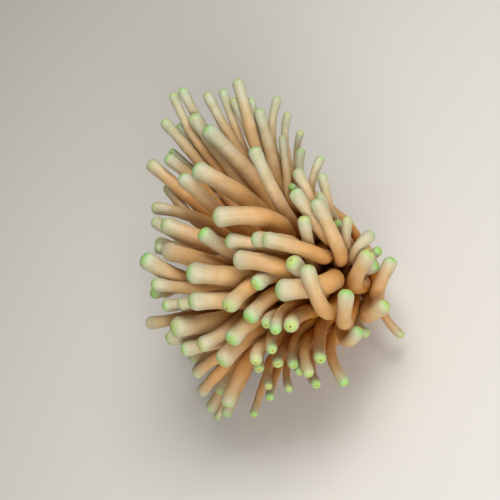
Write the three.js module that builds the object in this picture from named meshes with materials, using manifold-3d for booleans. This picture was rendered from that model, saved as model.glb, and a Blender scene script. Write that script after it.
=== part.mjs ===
// A giant Caribbean anemone, life size, in millimetres with +Z up.
//
// The animal stands on its pedal disc at z = 0, with its own axis along Z. A short column carries the
// oral disc, and five rings of tentacles grow from the disc round a bare middle with the mouth in it.
// The body is parted by thin cuts: the pedal disc, the column, the collar, the bare middle, the lips,
// and blocks of the oral disc that each carry two or three neighbouring tentacles.
import * as THREE from "three";
import { mergeGeometries, mergeVertices } from "three/addons/utils/BufferGeometryUtils.js";
import Module from "manifold-3d";

const wasm = await Module();
wasm.setup();

// ---------------------------------------------------------------- driving dimensions, mm
const CROWN_SPAN = 300;       // from the highest tentacle tip to the lowest, face on
const DISC_HEIGHT = 58;       // middle of the oral disc above the floor
const REACH = 140;            // from the middle of the disc to the tip of a tentacle that faces forward
const PEDAL_RADIUS = 44;      // flat underside that grips the ground
const PEDAL_HEIGHT = 9;
const WAIST_RADIUS = 36;      // narrowest part of the column
const WAIST_HEIGHT = 24;
const CUT = 0.3;              // gap left by each parting cut
const ROOT_RADIUS = 3.9;      // a tentacle where it leaves the disc
const FLOOR_CLEARANCE = 4;    // under the lowest tentacle

// ---------------------------------------------------------------- oral disc
// The disc is flat in the middle and rolls over into a rounded margin. A place on it is told by its
// distance from the middle, measured along the surface.
const FLAT_RADIUS = 30;
const MARGIN_BEND = 30;
const DISC_THICKNESS = 9;
const MIDDLE_RADIUS = 15;     // bare middle, inside the first ring
const LIPS_RADIUS = 8;
const RING_STEP = 10;
const SECTORS = 6;
const ringEdge = (ring) => MIDDLE_RADIUS + RING_STEP * ring;

// Each ring has this many tentacles in a sixth of the disc, parted into blocks of so many each.
const RINGS = [
  { name: "inner", blocks: [2] },
  { name: "second", blocks: [3] },
  { name: "third", blocks: [2, 2] },
  { name: "fourth", blocks: [2, 3] },
  { name: "outer", blocks: [3, 3] },
];
const perSector = (ring) => RINGS[ring].blocks.reduce((sum, count) => sum + count, 0);

function marginTurn(along) {
  return Math.max(0, along - FLAT_RADIUS) / MARGIN_BEND;
}

// Radius and height of the disc's surface, or of a surface so much below it.
function discProfile(along, below = 0) {
  const turn = marginTurn(along);
  const bend = MARGIN_BEND - below;
  const radius = Math.min(along, FLAT_RADIUS) + bend * Math.sin(turn);
  const height = DISC_HEIGHT - MARGIN_BEND + bend * Math.cos(turn);
  return new THREE.Vector2(radius, height);
}

// ---------------------------------------------------------------- face of the crown
// The crown is posed on a square grid laid over its face, x to the right and y downwards. The face
// looks forward and up at FACE_TILT, and is rolled about that direction, so that the animal's axis
// leans to the upper left. Steps narrow towards a viewer VIEW_DISTANCE away.
const GRID_SPAN = 343;
const GRID = CROWN_SPAN / GRID_SPAN;
const GRID_MIDDLE = 250;
const DISC_X = 300;
const DISC_Y = 275;
const FACE_TILT = THREE.MathUtils.degToRad(45);
const FACE_ROLL = THREE.MathUtils.degToRad(43);
const VIEW_DISTANCE = 1200;

const sideways = new THREE.Vector3(1, 0, 0);
const climb = new THREE.Vector3(0, Math.sin(FACE_TILT), Math.cos(FACE_TILT));
const faceOut = new THREE.Vector3(0, -Math.cos(FACE_TILT), Math.sin(FACE_TILT));
const faceRight = sideways.clone().multiplyScalar(Math.cos(FACE_ROLL))
  .addScaledVector(climb, -Math.sin(FACE_ROLL));
const faceUp = sideways.clone().multiplyScalar(Math.sin(FACE_ROLL))
  .addScaledVector(climb, Math.cos(FACE_ROLL));
const discMiddle = new THREE.Vector3(0, 0, DISC_HEIGHT);

function fromFace(across, up, out) {
  return discMiddle.clone().addScaledVector(faceRight, across).addScaledVector(faceUp, up)
    .addScaledVector(faceOut, out);
}

function onGrid(x, y, out) {
  const step = GRID * (1 - out / VIEW_DISTANCE);
  const across = (x - GRID_MIDDLE) * step - (DISC_X - GRID_MIDDLE) * GRID;
  const up = (GRID_MIDDLE - y) * step - (GRID_MIDDLE - DISC_Y) * GRID;
  return fromFace(across, up, out);
}

const outOf = (point) => point.clone().sub(discMiddle).dot(faceOut);

// ---------------------------------------------------------------- pose of the crown
// One row for each tentacle: tip x, tip y, knee x, knee y, and girth, in grid steps. The knee is a
// place about halfway along. Rows run from the back of their group to its front, so that a later
// tentacle lies over an earlier one. lift is how much of its rise a tentacle has made at the knee, and
// backReach is how far forward the back row reaches, against the front one.
const GROUPS = [
  {
    name: "upper fan", lift: 0.9, backReach: 0.4, rows: [
      [300.5, 133, 297, 176, 7.5], [301.5, 151, 302, 190, 8.5], [287.5, 115, 287, 170, 8.5],
      [283.5, 136, 285, 192, 8.5], [277, 100, 277, 152, 9.5], [171.5, 151, 205, 180, 8],
      [179, 126, 215, 176, 8.5], [165.5, 123, 210, 172, 11], [173.5, 96, 213, 168, 9.5],
      [183, 91, 222, 155, 10.5], [223, 92, 243, 148, 9], [208, 96, 246, 160, 11],
      [234, 101, 260, 158, 9.5], [251, 100, 268, 150, 8.5], [195, 119, 245, 186, 14.5],
      [259, 113, 281, 180, 12], [238, 83, 266, 156, 11.5], [210, 133, 262, 194, 17],
      [255, 152, 287, 220, 13.5],
    ],
  },
  {
    name: "crest", lift: 1, rows: [
      [320.5, 159, 311, 192, 8.5], [322, 177, 329, 214, 9], [347.5, 220, 343, 243, 9.5],
      [370, 236, 353, 250, 12], [321, 196, 330, 225, 8.5], [298, 173, 313, 208, 10.5],
      [296, 194, 321, 236, 13], [317, 204, 336, 244, 13], [303, 220, 317, 248, 11.5],
    ],
  },
  {
    name: "left side", lift: 0.9, rows: [
      [167, 187, 200, 222, 10.5], [158, 248, 192, 256, 11], [156, 222, 205, 249, 12],
      [152, 165, 206, 214, 13.5], [170, 160, 226, 203, 13], [184, 179, 230, 222, 14],
      [156, 208, 215, 226, 12.5], [167, 225, 222, 248, 16.5], [204, 234, 238, 262, 14],
      [168, 252, 228, 267, 18], [149, 260, 205, 287, 18], [156, 284, 214, 292, 12.5],
      [166, 306, 205, 302, 12], [151, 323, 206, 315, 13], [171, 338, 222, 330, 14],
      [182, 304, 232, 294, 11.5], [178, 327, 232, 322, 20], [186, 349, 235, 338, 14],
      [195, 301, 248, 301, 18], [203, 345, 245, 328, 15], [194, 273, 246, 280, 20],
      [199, 171, 254, 206, 18], [220, 217, 274, 222, 19],
    ],
  },
  {
    name: "lower left", lift: 0.7, rows: [
      [217.5, 417, 236, 375, 8.5], [211, 408, 236, 362, 11.5], [197, 373, 237, 338, 11.5],
      [203, 391, 231, 353, 12], [226.5, 413, 246, 372, 11], [228, 402, 253, 350, 14],
      [224, 359, 262, 325, 17.5], [233, 338, 275, 305, 16], [251, 318, 283, 288, 15.5],
      [230, 305, 265, 279, 15.5],
    ],
  },
  {
    name: "heart", lift: 0.9, rows: [
      [257, 282, 293, 270, 14], [231, 241, 278, 256, 15], [240, 260, 284, 267, 17],
      [256, 240, 303, 246, 14], [268, 240, 315, 257, 14.5], [297, 262, 323, 284, 15],
      [283, 290, 308, 287, 19], [306, 270, 321, 305, 15],
    ],
  },
  {
    name: "right side", lift: 0.8, backReach: 0.6, rows: [
      [401, 335, 387, 320, 8.5], [366, 333, 356, 325, 10], [378, 251, 370, 256, 9],
      [375, 266, 362, 273, 12], [390, 262, 366, 293, 13], [384, 306, 366, 315, 14],
      [366, 255, 346, 281, 15], [356, 330, 347, 341, 12.5], [346, 295, 343, 321, 14],
    ],
  },
  {
    name: "lower fringe", lift: 0.45, rows: [
      [254, 414, 265, 380, 8], [270, 397, 278, 368, 8.5], [268.5, 386, 273, 355, 8.5],
      [289, 389, 290, 358, 8], [316, 384, 312, 356, 10], [300, 372, 303, 345, 9],
      [259, 368, 266, 338, 10], [278, 363, 284, 335, 10], [294, 365, 297, 337, 10.5],
      [344, 382, 330, 334, 10.5], [320.5, 359, 320, 325, 11.5], [308.5, 373, 309, 332, 10.5],
      [256, 360, 268, 325, 12], [272, 349, 280, 325, 10], [267, 324, 283, 304, 11],
      [275.5, 329, 289, 302, 11], [291, 325, 304, 305, 14],
    ],
  },
];
const LAYER_DEPTH = 24;       // from the back row of a group to its front one

// Tentacles that the face hides stand in tiers about the axis, evenly turned between two bearings in
// degrees from +X. lean is their tilt from the axis, reach is from the middle of the disc, and girth is
// in grid steps.
const HIDDEN_TIERS = [
  { count: 5, from: 60, to: 200, lean: 60, reach: 128, girth: 12 },
  { count: 6, from: 60, to: 205, lean: 77, reach: 126, girth: 12 },
  { count: 6, from: 62, to: 205, lean: 94, reach: 122, girth: 12 },
  { count: 4, from: -40, to: 42, lean: 40, reach: 80, girth: 8.5 },
  { count: 4, from: -35, to: 45, lean: 52, reach: 68, girth: 8.5 },
];

function hiddenTentacles() {
  const tentacles = [];
  HIDDEN_TIERS.forEach(({ count, from, to, lean, reach, girth }) => {
    for (let i = 0; i < count; i += 1) {
      const turn = THREE.MathUtils.degToRad(THREE.MathUtils.lerp(from, to, (i + 0.5) / count));
      const tilt = THREE.MathUtils.degToRad(lean);
      const away = new THREE.Vector3(Math.cos(turn), Math.sin(turn), 0);
      const tip = discMiddle.clone().addScaledVector(away, reach * Math.sin(tilt));
      tip.z += reach * Math.cos(tilt);
      tentacles.push({ tip, girth: girth * GRID, layer: -1 });
    }
  });
  return tentacles;
}

function faceTentacles() {
  const tentacles = [];
  GROUPS.forEach(({ lift, backReach = 1, rows }) => {
    rows.forEach(([x, y, kneeX, kneeY, girth], row) => {
      const share = row / (rows.length - 1);
      const aside = Math.hypot(x - DISC_X, y - DISC_Y) * GRID;
      const forward = Math.sqrt(Math.max(0, REACH ** 2 - aside ** 2));
      const out = forward * THREE.MathUtils.lerp(backReach, 1, share) + (share - 0.5) * LAYER_DEPTH;
      const tip = onGrid(x, y, out);
      tentacles.push({ tip, out, kneeX, kneeY, girth: girth * GRID, lift, layer: tentacles.length });
    });
  });
  return tentacles;
}

const tentacles = [...hiddenTentacles(), ...faceTentacles()];

// ---------------------------------------------------------------- where each tentacle grows
// A tentacle grows where its own lean puts it: the disc is shared out by the bearings of the tips,
// and in each sixth of it the most upright tentacles take the inner rings.
const byValue = (read) => (a, b) => read(a) - read(b);

function shareOutDisc() {
  tentacles.forEach((tentacle) => {
    const reach = tentacle.tip.clone().sub(discMiddle);
    tentacle.bearing = Math.atan2(reach.y, reach.x);
    tentacle.lean = reach.angleTo(new THREE.Vector3(0, 0, 1));
  });
  const turned = [...tentacles].sort(byValue(({ bearing }) => bearing));
  const full = 2 * Math.PI;
  const drift = turned.reduce((sum, { bearing }, i) => (
    sum + bearing - full * (i + 0.5) / turned.length), 0) / turned.length;
  const share = turned.length / SECTORS;
  for (let sector = 0; sector < SECTORS; sector += 1) {
    const here = turned.slice(sector * share, (sector + 1) * share);
    here.sort(byValue(({ lean }) => lean));
    let taken = 0;
    RINGS.forEach((unused, ring) => {
      const count = perSector(ring);
      const inRing = here.slice(taken, taken + count).sort(byValue(({ bearing }) => bearing));
      taken += count;
      inRing.forEach((tentacle, slot) => {
        tentacle.sector = sector;
        tentacle.ring = ring;
        tentacle.slot = slot;
        [tentacle.fromAngle, tentacle.toAngle] = [slot, slot + 1].map((edge) => (
          drift + full * (sector + edge / count) / SECTORS));
      });
    });
  }
}

shareOutDisc();

// ---------------------------------------------------------------- centre lines
const BEADS = 25;             // places along each centre line where its spacing is kept

const FLATS_ROOM = 0.35;      // more room between rings, whose flats don't line up

// Each tentacle has a cell of the disc to itself: four corners, in order round its top face, and the
// same four below. It is drawn in by half a cut where it ends its block, and swollen by extra.
function cellCorners({ ring, fromAngle, toAngle, startsBlock, endsBlock }, extra = 0) {
  const near = ringEdge(ring) + CUT / 2 + FLATS_ROOM - extra;
  const far = ringEdge(ring + 1) - CUT / 2 + extra;
  const inset = (atEnd) => (atEnd ? CUT / 2 - extra : -extra) / discProfile(near).x;
  const from = fromAngle + inset(startsBlock);
  const to = toAngle - inset(endsBlock);
  const layer = (below) => [[near, from], [far, from], [far, to], [near, to]].map(([along, angle]) => {
    const { x: radius, y: height } = discProfile(along, below);
    return new THREE.Vector3(radius * Math.cos(angle), radius * Math.sin(angle), height);
  });
  return { top: layer(-extra), bottom: layer(DISC_THICKNESS + extra) };
}

function findRoots() {
  tentacles.forEach((tentacle) => {
    const [a, b, c, d] = cellCorners(tentacle).top;
    tentacle.root = a.clone().add(b).add(c).add(d).divideScalar(4);
    tentacle.rise = b.clone().sub(a).cross(d.clone().sub(a)).normalize();
  });
}

function findKnee(tentacle) {
  const { root, rise, tip, lift } = tentacle;
  if (tentacle.kneeX === undefined) {
    const middle = root.clone().lerp(tip, 0.5);
    return middle.addScaledVector(rise, 0.12 * root.distanceTo(tip));
  }
  const out = THREE.MathUtils.lerp(outOf(root), tentacle.out, lift);
  return onGrid(tentacle.kneeX, tentacle.kneeY, out);
}

// A span of cubic curve from one place and pull to another.
function hermite(from, pull, to, endPull, t) {
  const t2 = t * t;
  const t3 = t2 * t;
  return from.clone().multiplyScalar(2 * t3 - 3 * t2 + 1)
    .addScaledVector(pull, t3 - 2 * t2 + t)
    .addScaledVector(to, 3 * t2 - 2 * t3)
    .addScaledVector(endPull, t3 - t2);
}

function roughLine(tentacle) {
  const { root, rise, tip } = tentacle;
  const knee = findKnee(tentacle);
  const inner = root.distanceTo(knee);
  const outer = knee.distanceTo(tip);
  const heading = knee.clone().sub(root).normalize()
    .add(tip.clone().sub(knee).normalize()).normalize();
  const last = tip.clone().sub(knee).multiplyScalar(2).addScaledVector(heading, -outer);
  const steps = 12;
  const line = [];
  for (let i = 0; i < steps; i += 1) {
    line.push(hermite(root, rise.clone().multiplyScalar(0.9 * inner), knee,
      heading.clone().multiplyScalar(inner), i / steps));
  }
  for (let i = 0; i <= steps; i += 1) {
    line.push(hermite(knee, heading.clone().multiplyScalar(outer), tip, last, i / steps));
  }
  return line;
}

// The same line with its places an equal distance apart.
function evenLine(line, count) {
  const reached = [0];
  for (let i = 1; i < line.length; i += 1) {
    reached.push(reached[i - 1] + line[i].distanceTo(line[i - 1]));
  }
  const even = [];
  let span = 0;
  for (let i = 0; i < count; i += 1) {
    const target = reached[line.length - 1] * i / (count - 1);
    while (span < line.length - 2 && reached[span + 1] < target) {
      span += 1;
    }
    const t = (target - reached[span]) / (reached[span + 1] - reached[span]);
    even.push(line[span].clone().lerp(line[span + 1], t));
  }
  return even;
}

// Radius of a tentacle at a share of its length: it swells from a narrow root, holds its girth, and
// thins a little before its blunt tip.
const smooth = (t) => THREE.MathUtils.smoothstep(t, 0, 1);
const SWELLING = 0.3;
const TAPER_FROM = 0.6;
const TAPER = 0.05;

function radiusAt(girth, share) {
  const swell = smooth(share / SWELLING);
  const taper = 1 - TAPER * smooth((share - TAPER_FROM) / (1 - TAPER_FROM));
  return THREE.MathUtils.lerp(ROOT_RADIUS, girth / 2, swell) * taper;
}

// ---------------------------------------------------------------- making room
// Tentacles that lie closer than their girths allow are eased apart: first towards and away from the
// face, in the order of their layers, and then straight away from each other. A root can't give way.
const ROUNDS = 100;
const SPARE = 1.3;            // mm between the skins of two neighbours
const ORDERED_ROUNDS = 50;    // in these the layers decide who gives way, and later mere nearness
const LONGEST_STEP = 10;
const SHARING = 6;            // how often a push is passed on to the places next to it
const ORDERED_FROM = 0.62;    // share of the length beyond which the layers count
const HIT_SHARE = 0.3;        // how far the pushes of several neighbours at one place are averaged
const STIFFNESS = 0.2;        // how far a place keeps to the places on either side of it

function makeRoom() {
  const beads = [];
  tentacles.forEach((tentacle, owner) => {
    tentacle.line.forEach((place, i) => {
      const share = i / (BEADS - 1);
      const from = place.clone().sub(discMiddle);
      beads.push({
        owner,
        layer: tentacle.layer,
        share,
        home: [from.dot(faceRight), from.dot(faceUp), from.dot(faceOut)],
        shift: [0, 0, 0],
        push: [0, 0, 0],
        hits: 0,
        give: smooth((share - 0.03) / 0.2),
        radius: radiusAt(tentacle.girth, share),
      });
    });
  });
  let near = [];
  for (let round = 0; round < ROUNDS; round += 1) {
    beads.forEach((bead) => {
      bead.now = bead.home.map((value, axis) => value + bead.shift[axis]);
      bead.push = [0, 0, 0];
      bead.hits = 0;
    });
    if (round % 10 === 0) {
      near = nearPairs(beads);
    }
    near.forEach(([a, b]) => easeApart(a, b, round));
    easeShifts(beads);
  }
  tentacles.forEach((tentacle, owner) => {
    tentacle.line = tentacle.line.map((place, i) => {
      const { home, shift } = beads[owner * BEADS + i];
      return fromFace(home[0] + shift[0], home[1] + shift[1], home[2] + shift[2]);
    });
  });
}

function nearPairs(beads) {
  const pairs = [];
  const reach = 15;
  for (let i = 0; i < beads.length; i += 1) {
    const a = beads[i];
    for (let j = i + 1; j < beads.length; j += 1) {
      const b = beads[j];
      const wanted = a.radius + b.radius + reach;
      if (a.owner !== b.owner && Math.abs(a.now[0] - b.now[0]) < wanted
        && Math.abs(a.now[1] - b.now[1]) < wanted && Math.abs(a.now[2] - b.now[2]) < 3 * wanted) {
        pairs.push([a, b]);
      }
    }
  }
  return pairs;
}

function easeApart(a, b, round) {
  const wanted = a.radius + b.radius + SPARE;
  const gap = b.now.map((value, axis) => value - a.now[axis]);
  const aside = Math.hypot(gap[0], gap[1]);
  const apart = Math.hypot(aside, gap[2]);
  const ordered = round < ORDERED_ROUNDS && a.layer >= 0 && b.layer >= 0
    && a.share > ORDERED_FROM && b.share > ORDERED_FROM;
  let steps = [0, 0, 0];
  if (ordered && aside < wanted) {
    const clear = Math.sqrt(wanted * wanted - aside * aside);
    steps[2] = Math.min(Math.max(0, clear - gap[2]), LONGEST_STEP);
  } else if (apart < wanted) {
    steps = gap.map((value) => value * (wanted - apart) / Math.max(apart, 1));
  } else {
    return;
  }
  const total = a.give + b.give + 1e-6;
  steps.forEach((step, axis) => {
    a.push[axis] -= step * a.give / total;
    b.push[axis] += step * b.give / total;
  });
  a.hits += 1;
  b.hits += 1;
}

// Shares each push along its tentacle, so that the line stays smooth, and keeps it off the floor
// and off the disc.
function easeShifts(beads) {
  const pushes = beads.map(({ push, hits }) => push.map((value) => value / Math.max(1, hits * HIT_SHARE)));
  tentacles.forEach((unused, owner) => {
    const first = owner * BEADS;
    for (let pass = 0; pass < SHARING; pass += 1) {
      const before = pushes.slice(first, first + BEADS);
      for (let i = 1; i < BEADS; i += 1) {
        const after = before[Math.min(i + 1, BEADS - 1)];
        pushes[first + i] = before[i].map((value, axis) => (
          0.5 * value + 0.25 * (before[i - 1][axis] + after[axis])));
      }
    }
    const line = beads.slice(first, first + BEADS);
    line.forEach((bead, i) => {
      bead.shift = bead.shift.map((value, axis) => value + pushes[first + i][axis] * bead.give);
      const place = fromFace(...bead.home.map((value, axis) => value + bead.shift[axis]));
      const lack = floorLack(place, bead);
      [faceRight, faceUp, faceOut].forEach((axisLine, axis) => {
        bead.shift[axis] += 0.5 * lack * axisLine.z * bead.give;
      });
    });
    const shifts = line.map(({ shift }) => shift);
    for (let i = 1; i < BEADS - 1; i += 1) {
      line[i].shift = shifts[i].map((value, axis) => (
        value + STIFFNESS * ((shifts[i - 1][axis] + shifts[i + 1][axis]) / 2 - value)));
    }
  });
}

function floorLack(place, { radius, share }) {
  const aboveFloor = place.z - radius - FLOOR_CLEARANCE;
  let lack = Math.max(0, -aboveFloor);
  const fromAxis = Math.hypot(place.x, place.y);
  const margin = FLAT_RADIUS + MARGIN_BEND;
  if (share > 0.15 && fromAxis < margin) {
    const sunk = DISC_HEIGHT + radius + 2 - 8 * (fromAxis / margin) ** 2 - place.z;
    lack = Math.max(lack, Math.min(sunk, 10));
  }
  return lack;
}

findRoots();
tentacles.forEach((tentacle) => {
  tentacle.line = evenLine(roughLine(tentacle), BEADS);
});
makeRoom();
tentacles.forEach((tentacle) => {
  tentacle.line = evenLine(tentacle.line, BEADS);
});

// ---------------------------------------------------------------- solids
const SIDES = 5;
const FULLNESS = 1.08;        // the corners stand out as far as the flats fall short
// Where along a tentacle its rings may lie. The first choice that keeps to its line is taken.
const RING_CHOICES = [
  [0, 0.42, 1], [0, 0.3, 0.65, 1], [0, 0.22, 0.48, 0.74, 1], [0, 0.15, 0.33, 0.54, 0.77, 1],
];
const LINE_TOLERANCE = 1.8;
const TIP_RING = 0.84;        // radius of the last ring, against the girth there
const TIP_LENGTH = 0.8;       // how far the blunt tip stands past its middle, against its radius

function toSolid(geometry, tolerance = 1e-4) {
  const bare = new THREE.BufferGeometry();
  bare.setAttribute("position", geometry.attributes.position);
  bare.setIndex(geometry.index);
  const merged = mergeVertices(bare, tolerance);
  const index = merged.index.array;
  const faces = [];
  for (let i = 0; i < index.length; i += 3) {
    const [a, b, c] = index.slice(i, i + 3);
    if (a !== b && b !== c && c !== a) {
      faces.push(a, b, c);
    }
  }
  const mesh = new wasm.Mesh({
    numProp: 3,
    vertProperties: new Float32Array(merged.attributes.position.array),
    triVerts: new Uint32Array(faces),
  });
  return new wasm.Manifold(mesh);
}

function toGeometry(solid) {
  const mesh = solid.getMesh();
  const geometry = new THREE.BufferGeometry();
  geometry.setAttribute("position", new THREE.BufferAttribute(mesh.vertProperties, 3));
  geometry.setIndex(new THREE.BufferAttribute(mesh.triVerts, 1));
  geometry.computeVertexNormals();
  return geometry;
}

// How far straight spans between these places stray from the curve.
function strayOf(curve, shares) {
  const samples = 24;
  let stray = 0;
  for (let i = 0; i <= samples; i += 1) {
    const share = i / samples;
    const end = Math.max(1, shares.findIndex((value) => value >= share));
    const span = new THREE.Line3(curve.getPointAt(shares[end - 1]), curve.getPointAt(shares[end]));
    const point = curve.getPointAt(share);
    stray = Math.max(stray, span.closestPointToPoint(point, true, new THREE.Vector3()).distanceTo(point));
  }
  return stray;
}

// Rings of corners along a tentacle, the first one flat on its cell. extra makes it fatter all round.
function tentacleRings({ line, girth, rise, tolerance = LINE_TOLERANCE }, extra) {
  const curve = new THREE.CatmullRomCurve3(line, false, "centripetal");
  const shares = RING_CHOICES.find((choice) => strayOf(curve, choice) < tolerance)
    ?? RING_CHOICES.at(-1);
  const { normals } = curve.computeFrenetFrames(shares.length - 1);
  const rings = shares.map((share, station) => {
    const place = curve.getPointAt(share);
    const heading = station === 0 ? rise : curve.getTangentAt(share);
    const side = normals[station].clone().projectOnPlane(heading).normalize();
    const across = heading.clone().cross(side);
    const radius = (radiusAt(girth, share) * (share === 1 ? TIP_RING : 1) + extra) * FULLNESS;
    return Array.from({ length: SIDES }, (unused, i) => {
      const turn = 2 * Math.PI * i / SIDES;
      return place.clone().addScaledVector(side, radius * Math.cos(turn))
        .addScaledVector(across, radius * Math.sin(turn));
    });
  });
  const tip = curve.getPointAt(1)
    .addScaledVector(curve.getTangentAt(1), TIP_LENGTH * radiusAt(girth, 1) + extra);
  return { rings, tip };
}

// Triangles between the cell's top corners, numbered 0 to 3, and the root ring, from 8 on.
function topFaces(corners, ring, rise) {
  const along = corners[1].clone().sub(corners[0]).normalize();
  const across = rise.clone().cross(along);
  const flat = (point) => new THREE.Vector2(point.dot(along), point.dot(across));
  const faces = THREE.ShapeUtils.triangulateShape(corners.map(flat), [ring.map(flat)]);
  const numberOf = (i) => (i < corners.length ? i : i + corners.length);
  return faces.flatMap((face) => face.map(numberOf));
}

// The corners and triangles of a cell of the disc with its tentacle on it. The cell's sides run from
// each corner to the next, and those that are left open are where another cell joins on.
function cellShape(tentacle, openSides, extra = 0) {
  const { top, bottom } = cellCorners(tentacle, extra);
  const { rings, tip } = tentacleRings(tentacle, extra);
  const points = [...top, ...bottom, ...rings.flat(), tip];
  const faces = topFaces(top, rings[0], tentacle.rise);
  const corners = top.length;
  for (let i = 0; i < corners; i += 1) {
    const next = (i + 1) % corners;
    if (!openSides.includes(i)) {
      faces.push(i, i + corners, next + corners, i, next + corners, next);
    }
  }
  faces.push(4, 7, 6, 4, 6, 5);
  rings.slice(1).forEach((unused, span) => {
    for (let i = 0; i < SIDES; i += 1) {
      const a = 2 * corners + span * SIDES + i;
      const b = 2 * corners + span * SIDES + (i + 1) % SIDES;
      faces.push(a, b, b + SIDES, a, b + SIDES, a + SIDES);
    }
  });
  const last = points.length - 1;
  for (let i = 0; i < SIDES; i += 1) {
    faces.push(last - SIDES + i, last - SIDES + (i + 1) % SIDES, last);
  }
  const geometry = new THREE.BufferGeometry().setFromPoints(points);
  return geometry.setIndex(faces);
}

const JOIN = 0.02;            // how much fatter cells are to join as solids
const JOINT_VOLUME = 9;       // mm3 that two such cells share at their side

// Where a block's own tentacles lie into each other, its cells are joined as solids. Elsewhere they
// meet side to side in one shell.
function blockSolid({ members }, extra = 0) {
  const cells = members.map((member) => toSolid(cellShape(member, [], Math.max(extra, JOIN))));
  const meet = (cell, i) => cells.slice(0, i).some((other) => (
    cell.intersect(other).volume() > JOINT_VOLUME));
  if (extra > 0 || cells.some(meet)) {
    return cells.reduce((all, cell) => all.add(cell));
  }
  return toSolid(mergeGeometries(members.map((member) => {
    const openSides = [...(member.startsBlock ? [] : [0]), ...(member.endsBlock ? [] : [2])];
    return cellShape(member, openSides);
  })));
}

// ---------------------------------------------------------------- the crown in blocks
const SECTOR_NAMES = ["a", "b", "c", "d", "e", "f"];
const HALF_NAMES = ["left", "right"];

function crownBlocks() {
  const blocks = [];
  for (let sector = 0; sector < SECTORS; sector += 1) {
    RINGS.forEach(({ name, blocks: sizes }, ring) => {
      let first = 0;
      sizes.forEach((size, part) => {
        const end = first + size;
        const members = tentacles.filter((tentacle) => tentacle.sector === sector
          && tentacle.ring === ring && tentacle.slot >= first && tentacle.slot < end);
        members.forEach((member) => {
          member.startsBlock = member.slot === first;
          member.endsBlock = member.slot === end - 1;
        });
        const half = sizes.length > 1 ? `_${HALF_NAMES[part]}` : "";
        blocks.push({ name: `tentacles_${name}_${SECTOR_NAMES[sector]}${half}`, members });
        first = end;
      });
    });
  }
  return blocks;
}

function boxesMeet(a, b) {
  const boxA = a.boundingBox();
  const boxB = b.boundingBox();
  return [0, 1, 2].every((axis) => boxA.min[axis] <= boxB.max[axis]
    && boxB.min[axis] <= boxA.max[axis]);
}

const largestPiece = (solid) => solid.decompose()
  .reduce((best, piece) => (piece.volume() > best.volume() ? piece : best));

// Corners this close are merged, at the widest tolerance that leaves the solid closed and without
// very short edges.
const MERGE_TOLERANCES = [0.08, 0.07, 0.1, 0.06, 0.05, 0.04, 0.03, 0.02, 0.01];
const SHORTEST_EDGE = 0.03;

function shortestEdge(solid) {
  const { vertProperties, triVerts } = solid.getMesh();
  const corner = (i) => new THREE.Vector3().fromArray(vertProperties, 3 * triVerts[i]);
  let shortest = Infinity;
  for (let i = 0; i < triVerts.length; i += 3) {
    for (let j = 0; j < 3; j += 1) {
      shortest = Math.min(shortest, corner(i + j).distanceTo(corner(i + (j + 1) % 3)));
    }
  }
  return shortest;
}

function withoutSlivers(solid) {
  let best = { shape: solid, edge: 0 };
  for (const tolerance of MERGE_TOLERANCES) {
    try {
      const shape = toSolid(toGeometry(solid), tolerance);
      const edge = shortestEdge(shape);
      if (edge > best.edge) {
        best = { shape, edge };
      }
    } catch {
      continue;
    }
    if (best.edge > SHORTEST_EDGE) {
      break;
    }
  }
  return best.shape;
}

// Tentacles that still touch get more rings first, and are then made a little thinner a few times.
const FINE_TOLERANCES = [1, 0.5];
const THINNING = 0.95;
const THINNING_ROUNDS = 9;
const TOUCH_VOLUME = 0.5;     // mm3

function touchingOnes(blocks) {
  const owners = blocks.flatMap((block) => block.members.map((member) => ({ block, member })));
  const bare = owners.map(({ member }) => toSolid(cellShape(member, [])));
  const grown = owners.map(({ member }) => toSolid(cellShape(member, [], CUT)));
  const touching = new Set();
  owners.forEach((owner, i) => {
    owners.slice(0, i).forEach((other, j) => {
      const theirs = owner.block === other.block ? bare[j] : grown[j];
      if (boxesMeet(bare[i], theirs) && bare[i].intersect(theirs).volume() > TOUCH_VOLUME) {
        touching.add(owner.member).add(other.member);
      }
    });
  });
  return touching;
}

function thinTouching(blocks) {
  FINE_TOLERANCES.forEach((tolerance) => {
    touchingOnes(blocks).forEach((member) => {
      member.tolerance = tolerance;
    });
  });
  for (let round = 0; round < THINNING_ROUNDS; round += 1) {
    touchingOnes(blocks).forEach((member) => {
      member.girth *= THINNING;
    });
  }
}

// Where two blocks still touch, the later one is cut back clear of the earlier one.
function cutApart(blocks) {
  blocks.forEach((block) => {
    block.solid = blockSolid(block);
    block.grown = blockSolid(block, CUT);
  });
  blocks.forEach((block, i) => {
    blocks.slice(0, i).forEach((other) => {
      if (boxesMeet(block.solid, other.grown)
        && block.solid.intersect(other.solid).volume() > 0) {
        block.solid = largestPiece(block.solid.subtract(other.grown));
      }
    });
  });
}

// ---------------------------------------------------------------- middle of the disc
const ROUND_STEPS = 16;
const LIPS_HEIGHT = 3.5;
const MOUTH_LENGTH = 9;
const MOUTH_WIDTH = 1.6;
const MOUTH_DEPTH = 6;

function revolved(outline, segments = ROUND_STEPS) {
  return toSolid(new THREE.LatheGeometry(outline, segments).rotateX(Math.PI / 2));
}

const at = (radius, height) => new THREE.Vector2(radius, height);

function bareMiddle() {
  const under = DISC_HEIGHT - DISC_THICKNESS;
  const inside = LIPS_RADIUS + CUT / 2;
  const outside = MIDDLE_RADIUS - CUT;
  return revolved([
    at(inside, under), at(outside, under), at(outside, DISC_HEIGHT),
    at(inside, DISC_HEIGHT + 1), at(inside, under),
  ]);
}

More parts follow.
